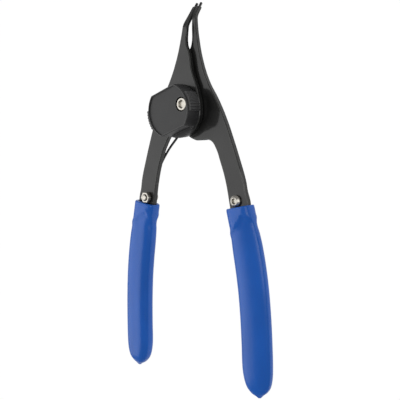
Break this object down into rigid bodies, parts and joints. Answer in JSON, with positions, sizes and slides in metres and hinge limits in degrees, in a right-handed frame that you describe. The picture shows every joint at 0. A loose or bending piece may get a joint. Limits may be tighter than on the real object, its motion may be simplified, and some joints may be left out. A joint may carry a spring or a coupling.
{
  "type": "circlip pliers",
  "caption": "Convertible circlip pliers with bent tips, a switch knob that moves the pivot, a return spring and dipped grips.",
  "frame": {"origin": "centre of the footprint of the whole tool, at the height of its lowest point, the tips", "axes": "+Y from the grip ends to the tips, +Z from the spring side to the knob side, +X to the right lever"},
  "size_m": [0.0964, 0.2001, 0.023],
  "materials": {
    "lever_steel": "satin black oxide",
    "tip_steel": "satin dark steel",
    "spring_steel": "dark spring wire",
    "knob_plastic": "moulded black",
    "zinc_plate": "bright zinc plate",
    "grip_vinyl": "glossy dipped vinyl"
  },
  "bodies": {
    "front_lever": {"front_lever": "lever_steel", "left_grip": "grip_vinyl", "left_tip_pin": "tip_steel", "left_anchor_screw": "zinc_plate", "left_anchor_nut": "zinc_plate", "left_spacer": "zinc_plate"},
    "knob": {"selector_knob": "knob_plastic", "knob_friction_washer": "zinc_plate"},
    "pivot": {"pivot_screw": "zinc_plate", "pivot_retainer": "zinc_plate"},
    "rear_lever": {"rear_lever": "lever_steel", "right_grip": "grip_vinyl", "right_tip_pin": "tip_steel", "right_anchor_screw": "zinc_plate", "right_anchor_nut": "zinc_plate", "right_spacer": "zinc_plate", "return_spring_right": "spring_steel"},
    "spring_left": {"return_spring_left": "spring_steel"}
  },
  "joints": [
    {"name": "knob_turn", "type": "hinge", "parent": "front_lever", "child": "knob", "pos_m": [-0.0039, 0.0436, 0.0137], "axis": [0, 0, 1], "range_deg": [-215.6, 0]},
    {"name": "pivot_counterturn", "type": "hinge", "parent": "knob", "child": "pivot", "pos_m": [0.00495, 0.04644, 0.0104], "axis": [0, 0, 1], "range_deg": [0, 215.6]},
    {"name": "lever_squeeze", "type": "hinge", "parent": "pivot", "child": "rear_lever", "pos_m": [0.00495, 0.04644, 0.0088], "axis": [0, 0, 1], "range_deg": [-13, 0], "stiffness_Nm_per_rad": 0.5, "springref_deg": 17.19},
    {"name": "spring_leg_follow", "type": "hinge", "parent": "pivot", "child": "spring_left", "pos_m": [0.00495, 0.04644, 0.0065], "axis": [0, 0, 1], "range_deg": [0, 36.7]}
  ],
  "couplings": [
    {"joint": "pivot_counterturn", "follows": "knob_turn", "ratio": -1},
    {"joint": "spring_leg_follow", "follows": "knob_turn", "ratio": -0.17}
  ]
}
